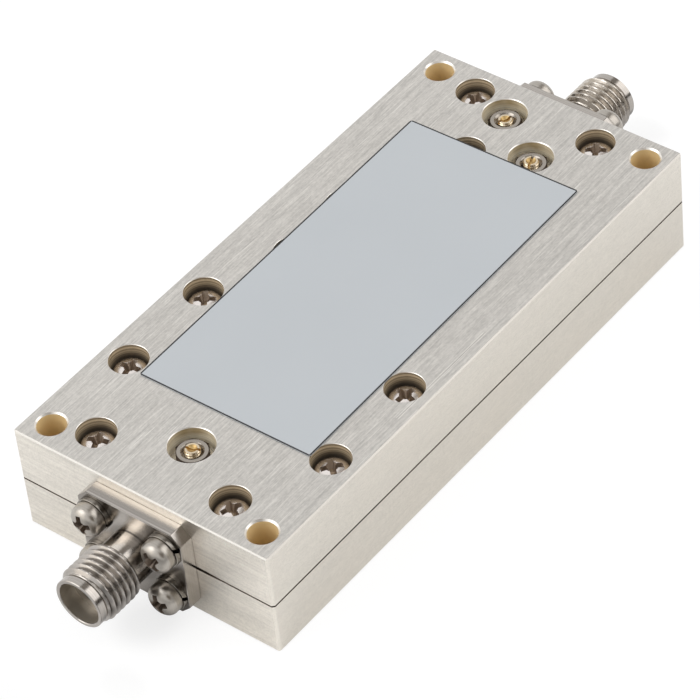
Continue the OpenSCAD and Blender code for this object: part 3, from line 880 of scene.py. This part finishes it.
long_screw = pan_screw(COVER_LENGTH, COVER_SIDE, bright_steel)
short_screw = pan_screw(FLANGE_LENGTH, FLANGE_SIDE, flange_steel)
print("head", round(head_r * 2 / MM, 2), "x", round(head_h / MM, 2), "mm;",
    "shanks", round(COVER_LENGTH / MM, 1), "and", round(FLANGE_LENGTH / MM, 1), "mm")

# %% [markdown]
# ## Set fasteners on points
#
# One tree places every fastener. Its input is a mesh of bare points, each with an "aim": three
# angles that turn the prototype. It sets a copy on each point, makes the copies real and names
# their material. The result becomes a plain mesh.

# %% Fastener tree


def make_fastener_tree():
    group, given, result = new_group("Fasteners on Points", "GeometryNodeTree", [
        ("Geometry", "Geometry", None), ("Prototype", "Object", None), ("Material", "Material", None)],
        [("Geometry", "Geometry")])
    source = add(group, "GeometryNodeObjectInfo", {"Object": given["Prototype"]}, "Geometry")
    aim = add(group, "GeometryNodeInputNamedAttribute", {"Name": "aim"}, "Attribute",
        data_type="FLOAT_VECTOR")
    copies = add(group, "GeometryNodeInstanceOnPoints", {"Points": given["Geometry"],
        "Instance": source, "Rotation": aim})
    real = add(group, "GeometryNodeRealizeInstances", {"Geometry": copies})
    painted = add(group, "GeometryNodeSetMaterial", {"Geometry": real, "Material": given["Material"]})
    feed(painted, result["Geometry"])
    return group


fastener_tree = make_fastener_tree()


def set_out(name, prototype, points, way, turns, slot, *nodes, body=ROOT):
    """Copies of a prototype along a way, one to a point, as one piece that stands for CAD nodes."""
    source = make_object("prototype", prototype)
    mesh = grow(fastener_tree, points, {"aim": [aim_along(way, turn) for turn in turns]},
        Prototype=source, Material=prototype.materials[0])
    bpy.data.objects.remove(source)
    piece = make_object(name, mesh)
    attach(piece, body)
    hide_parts(*nodes)
    print(name, "-", len(points), "copies,", len(mesh.polygons), "faces")


def aim_along(direction, turn):
    """The three angles that turn +Z to a direction, after a turn about the axis in degrees."""
    way = Vector(direction).to_track_quat("Z", "Y").to_matrix().to_4x4()
    return tuple((way @ Matrix.Rotation(math.radians(turn), 4, "Z")).to_euler("XYZ"))


UP = (0, 0, 1)
print("tree:", fastener_tree.name)

# %% [markdown]
# ## Cover screws
#
# Each screw stopped at its own angle when it was tightened. The angles are listed in the order of
# the screws, from the input end to the output end and from left to right.

# %% Set the cover screws
COVER_TURNS = [20, 65, 10, 50, 35, 80, 15, 60, 40, 25, 70, 5, 30]
cover_points = [((lo.x + hi.x) / 2, (lo.y + hi.y) / 2, hi.z) for lo, hi in cover_washers]
set_out("cover_screw_set", long_screw, cover_points, UP, COVER_TURNS, "screw_steel", "cover_screws")

# %% [markdown]
# ## Split washers
#
# A split washer is a ring of square wire with one slanted cut, whose ends stand a little apart in
# height. It is swept in code, as a square section that climbs slightly on its way round.

# %% Set the cover washers
WASHER_TURNS = [200, 120, 30, 290, 75, 160, 10, 240, 330, 100, 55, 280, 140]
washer_r, washer_t = (washer_high.x - washer_low.x) / 2, washer_high.z - washer_low.z


def split_washer(outer, inner, thick, gap=14, rise=0.12, steps=56):
    """A ring on z = 0 with a slanted gap in degrees and ends that differ by a share of its height."""
    made = bmesh.new()
    soft = 0.07 * thick
    section = [(inner + soft, 0), (outer - soft, 0), (outer, soft), (outer, thick - soft),
        (outer - soft, thick), (inner + soft, thick), (inner, thick - soft), (inner, soft)]
    loops = []
    for share in np.arange(steps + 1) / steps:
        loop = []
        for r, z in section:
            lean = math.radians(9) * (z / thick - 0.5)
            a = math.radians(gap / 2) + math.radians(360 - gap) * share + lean
            lift = rise * thick * (0.5 - share) * 0.5
            loop.append(made.verts.new((r * math.cos(a), r * math.sin(a),
                min(max(z + lift, 0.0), thick))))
        loops.append(loop)
    for one, two in zip(loops, loops[1:]):
        for i in range(len(section)):
            j = (i + 1) % len(section)
            made.faces.new((one[i], one[j], two[j], two[i]))
    made.faces.new(loops[0])
    made.faces.new(loops[-1])
    bmesh.ops.recalc_face_normals(made, faces=made.faces)
    return finish(to_mesh(made), washer_steel)


washer = split_washer(washer_r, 1.15 * MM, washer_t)
set_out("cover_washer_set", washer, [(p[0], p[1], p[2] - washer_t) for p in cover_points], UP,
    WASHER_TURNS, "screw_steel", "cover_washers")

# %% [markdown]
# ## Flange screws and washers
#
# The same prototypes look along the jacks here. Their points come from the washers of each flange,
# whose inner faces lie on the flange.

# %% Set the flange fasteners
FLANGE_TURNS = {"input": [70, 20, 15, 40], "output": [60, 10, 35, 80]}
SPLIT_TURNS = {"input": [-5, 7, -15, 27], "output": [40, 60, 50, 30]}
ENDS = (("input", -1), ("output", 1))
for end, way in ENDS:
    seats = sorted(islands(end + "_washers"), key=lambda b: (round(b[0].z, 4), round(b[0].x, 4)))
    spots = [((lo.x + hi.x) / 2, lo.y if way > 0 else hi.y, (lo.z + hi.z) / 2) for lo, hi in seats]
    heads = [(x, y + way * washer_t, z) for x, y, z in spots]
    set_out(end + "_screw_set", short_screw, heads, (0, way, 0), FLANGE_TURNS[end], "screw_steel",
        end + "_screws")
    set_out(end + "_washer_set", washer, spots, (0, way, 0), SPLIT_TURNS[end], "screw_steel",
        end + "_washers")

# %% [markdown]
# ## The jacks
#
# Flange and barrel are one piece of stainless steel. The barrel is turned in two parts, below and
# above the thread, and the thread fills the stretch between them with the same number of points
# around, so that the three merge into one closed skin. The flange is a plate with cut corners.

# %% Jack prototype
jack_low, jack_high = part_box("input_jack")
REACH = -half_y - jack_low.y
FLANGE_W, FLANGE_H, FLANGE_CUT = jack_high.x - jack_low.x, jack_high.z - jack_low.z, 1.1 * MM
PITCH = 25.4 / 36 * MM
THREAD_DEPTH = 0.42 * MM
ROOT_R = CREST - THREAD_DEPTH
NECK_R = 2.6 * MM
COLLAR_R, COLLAR_FROM, GROOVE_R = 2.775 * MM, 8.95 * MM, 2.62 * MM
SOCKET_H = 1.9 * MM
LINE_R, BEAD_R, BEAD_T = 1.46 * MM, 2.03 * MM, 1.45 * MM
AROUND = 96


def barrel():
    """The turned barrel on z = 0, which is the plane of the housing's end face."""
    soft = 0.06 * MM
    below = [(BEAD_R, 0), (NECK_R, 0), (NECK_R, THREAD_FROM - 0.1 * MM), (ROOT_R, THREAD_FROM)]
    above = [(ROOT_R, THREAD_TO), (GROOVE_R, THREAD_TO + 0.05 * MM),
        (GROOVE_R, COLLAR_FROM - 0.08 * MM), (COLLAR_R, COLLAR_FROM), (COLLAR_R, REACH - soft),
        (COLLAR_R - soft, REACH), (SOCKET_R + soft, REACH), (SOCKET_R, REACH - soft),
        (SOCKET_R, REACH - SOCKET_H), (LINE_R, REACH - SOCKET_H), (LINE_R, BEAD_T), (BEAD_R, BEAD_T),
        (BEAD_R, 0)]
    thread = grow(thread_tree, Crest_Radius=CREST, Depth=THREAD_DEPTH, Pitch=PITCH, Phase=0.57,
        Start=THREAD_FROM, End=THREAD_TO, Chamfer=0.42 * MM, Around=AROUND, Rows=120)
    return join(lathe(below, AROUND), thread, lathe(above, AROUND))


def bore_painted_light(centre, normal):
    """The bore is painted lighter than the outside, a painted light: its wall most, its floor less."""
    r, deep = math.hypot(centre.x, centre.y), REACH - centre.z
    if r > SOCKET_R + 0.02 * MM or deep < 0.1 * MM or deep > REACH - 0.1 * MM:
        return 0.0
    return 1.0 if deep < SOCKET_H - 0.05 * MM else 0.5


def flange():
    w, h, c = FLANGE_W / 2, FLANGE_H / 2, FLANGE_CUT
    outline = [(-w + c, -h), (w - c, -h), (w, -h + c), (w, h - c), (w - c, h), (-w + c, h),
        (-w, h - c), (-w, -h + c)]
    made = bmesh.new()
    foot = made.faces.new([made.verts.new((x, y, 0)) for x, y in outline])
    grown = bmesh.ops.extrude_face_region(made, geom=[foot])
    for item in grown["geom"]:
        if isinstance(item, bmesh.types.BMVert):
            item.co.z = FLANGE_T
    bmesh.ops.recalc_face_normals(made, faces=made.faces)
    bmesh.ops.bevel(made, geom=made.edges[:], offset=0.06 * MM, segments=2, profile=0.5,
        affect="EDGES")
    return to_mesh(made)


def jack():
    body = cut(flange(), rod(BEAD_R, -MM, 3 * MM, AROUND))
    for lo, hi in flange_washers:
        hole = rod(1.15 * MM, -MM, 3 * MM, 32)
        hole.transform(Matrix.Translation(((lo.x + hi.x) / 2, (lo.z + hi.z) / 2 - seam_z, 0)))
        body = cut(body, hole)
    return finish(cut(body, barrel(), "UNION"), stainless, bore_painted_light, sharp=12)


jack_mesh = jack()
for end, way in ENDS:
    set_out(end + "_jack_turned", jack_mesh, [(0, way * half_y, seam_z)], (0, way, 0), [0],
        "stainless", end + "_jack")

# %% [markdown]
# ## Tuning screws and lock nuts
#
# Each tuning screw turns by itself, and so does its nut, so each of them is a piece on its own
# body. The screw has a fine thread and a slot for a driver, the nut is a hexagon whose corners are
# turned off. They are set out by the fastener tree too, with a single point each.

# %% Set the tuning screws and nuts
tuner_low, tuner_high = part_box("near_tuner")
nut_low, nut_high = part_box("near_nut")
TUNER_R, NUT_H = (tuner_high.x - tuner_low.x) / 2, nut_high.z - nut_low.z
NUT_FLATS, NUT_SINK = 3.2 * MM, 0.3 * MM
CHAMFER_R = NUT_FLATS / 2 * 0.97
SLOT_W, SLOT_H = 0.28 * MM, 0.34 * MM
SLOT_TURNS = {"near_tuner": 20, "left_tuner": 65, "right_tuner": 110}
NUT_TURNS = {"near_nut": 12, "left_nut": 25, "right_nut": 5}


def tuning_screw(length):
    """A slotted rod with its top at z = 0 and a shallow centre dimple."""
    thread = capped(grow(thread_tree, Crest_Radius=TUNER_R, Depth=0.14 * MM, Pitch=0.35 * MM,
        Start=-length, End=0.0, Chamfer=0.15 * MM, Around=40, Rows=int(length / (0.03 * MM))))
    slot = block((-2 * TUNER_R, -SLOT_W / 2, -SLOT_H), (2 * TUNER_R, SLOT_W / 2, MM))
    dimple = lathe([(0, -0.28 * MM), (0.3 * MM, -0.2 * MM), (0.52 * MM, 0.0), (0.7 * MM, 0.2 * MM),
        (0, 0.2 * MM)], 24)
    return finish(cut(cut(thread, slot), dimple), gold_plate, sharp=40,
        light_and_wear_share=lambda c, n: -0.6 * MM < c.z < -0.02 * MM and math.hypot(c.x, c.y) < 0.8 * TUNER_R)


def lock_nut():
    """A hexagonal nut on z = 0 with turned-off corners."""
    corner_r = NUT_FLATS / math.sqrt(3)
    slope = (corner_r - CHAMFER_R) * 0.6
    turned = lathe([(0, 0), (CHAMFER_R, 0), (corner_r, slope), (corner_r, NUT_H - slope),
        (CHAMFER_R, NUT_H), (0, NUT_H)], 64)
    bore = TUNER_R + 0.03 * MM
    hole = lathe([(0, -MM), (bore, -MM), (bore, NUT_H - NUT_SINK), (bore + NUT_SINK + 0.1 * MM,
        NUT_H + 0.1 * MM), (0, NUT_H + 0.1 * MM)], 40)
    # The nut's sides take a nearly black tone: painted shade.
    return finish(cut(cut(rod(corner_r, 0, NUT_H, 6), turned, "INTERSECT"), hole), nut_nickel,
        lambda c, n: 0.9 * (math.hypot(c.x, c.y) > 0.95 * NUT_FLATS / 2))


nut_mesh = lock_nut()
for name, turn in SLOT_TURNS.items():
    low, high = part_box(name)
    x, y = (low.x + high.x) / 2, (low.y + high.y) / 2
    set_out(name + "_screw", tuning_screw(high.z - low.z), [(x, y, high.z)], UP, [turn],
        "gold_plate", name, body=name)
    nut = name.replace("tuner", "nut")
    set_out(nut + "_hex", nut_mesh, [(x, y, nut_low.z)], UP, [NUT_TURNS[nut]], "screw_steel", nut,
        body=nut)

# %% [markdown]
# ## Floor
#
# The product photograph has a white ground. The floor glows a little by itself, so that it comes
# out white, and a matt part of it still takes the object's soft shadow. In the mirrors on the
# object the matt part is larger, because a deep shadow there draws the underside of each round
# piece. Under the jacks and in front of the object the mirrored floor is darker, in soft patches
# and two wide falls on the right, which gives the threads and necks their dark lower flanks.

# %% Floor
# Painted shadows on the floor, seen in the mirrors: soft patches under the jacks and two falls in front on
# the right.
SHADOW_PATCHES = [(2.6, -37.6, 4.6, 4.3, 0.46), (6.0, -45.2, 5.0, 3.6, 0.5), (1.5, 46.5, 4.5, 3.2, 0.5)]
FRONT = [(-47.0, -52.0, 0.5), (-55.0, -110.0, 0.4)]
FRONT_ACROSS = -30 * MM, -9 * MM
BLACK, WHITE = (0, 0, 0), (1, 1, 1)
MATT, MATT_SEEN = (0.86, 0.86, 0.86), (0.23, 0.23, 0.23)


def make_floor():
    material, tree, shader = new_material("floor")
    eye = add(tree, "ShaderNodeLightPath", take="Is Camera Ray")
    x, y, _ = surroundings(tree)[1]
    right = ramp(x, *FRONT_ACROSS)
    lit = 1.0
    for at_x, at_y, wide, long, level in SHADOW_PATCHES:
        away = distance((x - at_x * MM) / (wide * MM), (y - at_y * MM) / (long * MM))
        lit = lit * ramp(away, 0.3, 1.0, level, smooth=True)
    for near, far, level in FRONT:
        lit = lit * (1.0 - ramp(y, near * MM, far * MM, 0.0, 1.0 - level, smooth=True) * right)
    glow = add(tree, "ShaderNodeEmission", {"Color": WHITE, "Strength": lit * 0.12 + eye * 0.70})
    matt = add(tree, "ShaderNodeBsdfDiffuse", {"Color": coat(BLACK, (lit, MATT), (eye, MATT_SEEN))})
    show_plain(shader, add(tree, "ShaderNodeAddShader", {0: glow, 1: matt}))
    made = bmesh.new()
    bmesh.ops.create_grid(made, x_segments=1, y_segments=1, size=6.0)
    floor = make_object("floor", to_mesh(made))
    floor.data.materials.append(material)
    floor.location.z = -0.02 * MM


make_floor()
print("floor with", len(SHADOW_PATCHES), "patches")

# %% [markdown]
# ## World
#
# The world is white to the camera and to the mirrors, and sheds a little less light, so that the
# colours render as they are written.

# %% World
SHED = 0.66


def make_world():
    world = bpy.data.worlds.new("studio")
    world.use_nodes = True
    tree = world.node_tree
    camera, glossy, clear = (add(tree, "ShaderNodeLightPath", take=f"Is {kind} Ray")
        for kind in ("Camera", "Glossy", "Transmission"))
    seen = calc("MAXIMUM", camera, calc("MAXIMUM", glossy, clear))
    background = tree.nodes["Background"].inputs
    feed(SHED + seen * (1.0 - SHED), background["Strength"])
    feed(WHITE, background["Color"])
    bpy.context.scene.world = world


make_world()
print("world sheds", SHED)

# %% [markdown]
# ## Softboxes and cards
#
# Polished metal is only as interesting as what it mirrors. Two softboxes stand around the object,
# one behind it on the right and one in front on the left. Each is an area lamp in a dark frame,
# which draws the dark lines beside the bright stripes on the barrel; one side of the right frame
# is grey. The room behind the camera is dark, and so is the low horizon on the right, and a bright
# card stands low on the left. The camera sees none of them, and the cards show in mirrors only, so
# that they take no light from the matt surfaces.

# %% Softboxes and cards


def toward(azimuth, elevation):
    """Unit vector from the object, with azimuth 0 in front of the input end."""
    a, e = math.radians(azimuth), math.radians(elevation)
    return Vector((math.sin(a) * math.cos(e), -math.cos(a) * math.cos(e), math.sin(e)))


def stand(thing, way, far, roll):
    """Set an object far off with its +Z turned away from the origin, out of the camera's sight."""
    turn = way.to_track_quat("Z", "Y").to_matrix().to_4x4()
    thing.matrix_world = Matrix.Translation(way * far) @ (
        turn @ Matrix.Rotation(math.radians(roll), 4, "Z"))
    thing.visible_camera = False


def card(name, azimuth, elevation, width, height, roll=0.0, far=0.64, tone=(0.03, 0.024, 0.02),
        shift=0.0, second=None):
    """A card that shows in mirrors only, in a plain tone, or with a second one on its +X half."""
    low, high = (shift - width / 2, -height / 2, 0), (shift + width / 2, height / 2, MM)
    thing = make_object(name, block(low, high))
    stand(thing, toward(azimuth, elevation), far, roll)
    thing.visible_diffuse = thing.visible_shadow = False
    material, tree, shader = new_material(name)
    half = surroundings(tree)[1][0] > 0.0
    colour = coat(tone, (half, second or tone))
    show_plain(shader, add(tree, "ShaderNodeEmission", {"Color": colour, "Strength": 1.0}))
    thing.data.materials.append(material)


def softbox(name, azimuth, elevation, width, height, level, roll=0.0, rim=0.1, shift=0.0, **tones):
    """An area lamp of a given brightness, where 1 is white, in a frame."""
    data = bpy.data.lights.new(name, "AREA")
    data.shape, data.size, data.size_y = "RECTANGLE", width, height
    data.energy = level * math.pi * width * height
    stand(make_object(name, data), toward(azimuth, elevation), 0.6, roll)
    card(name + "_frame", azimuth, elevation, width + 2 * (rim + abs(shift)), height + 2 * rim,
        roll, shift=shift, **tones)


softbox("box_right", 133.6, 38.8, 0.57, 0.50, 1.7, roll=59, rim=0.2, shift=0.1,
    tone=(0.09, 0.075, 0.065), second=(0.31, 0.285, 0.26))
softbox("box_left", -39.0, 38.0, 0.42, 0.42, 2.8, rim=0.05)
card("card_room", 50, 34, 0.60, 0.56, far=0.8, tone=(0.14, 0.11, 0.075))
card("card_low", 100, 3, 0.9, 0.12)
card("card_bright", -36, 10, 0.52, 0.20, tone=(1.75, 1.69, 1.60))
print("two softboxes and three cards")

# %% [markdown]
# ## Camera
#
# The camera was fitted to the photograph: a long lens from the front right, a little rolled.

# %% Camera
LENS = 201.07
CAMERA_AT = Vector((189.926, -210.340, 272.256)) * MM
CAMERA_BACK = Vector((0.4894786, -0.5370191, 0.6870380))
CAMERA_UP = Vector((-0.3742009, 0.5822902, 0.7217422))


def make_camera():
    data = bpy.data.cameras.new("camera")
    data.lens, data.sensor_width = LENS, 36.0
    data.clip_start, data.clip_end = 0.01, 20.0
    camera = make_object("camera", data)
    right = CAMERA_UP.cross(CAMERA_BACK)
    turn = Matrix((right, CAMERA_UP, CAMERA_BACK)).transposed()
    camera.matrix_world = Matrix.Translation(CAMERA_AT) @ turn.to_4x4()
    bpy.context.scene.camera = camera


make_camera()
bpy.context.scene.view_settings.view_transform = "Standard"
print("camera at", tuple(round(v, 4) for v in CAMERA_AT))
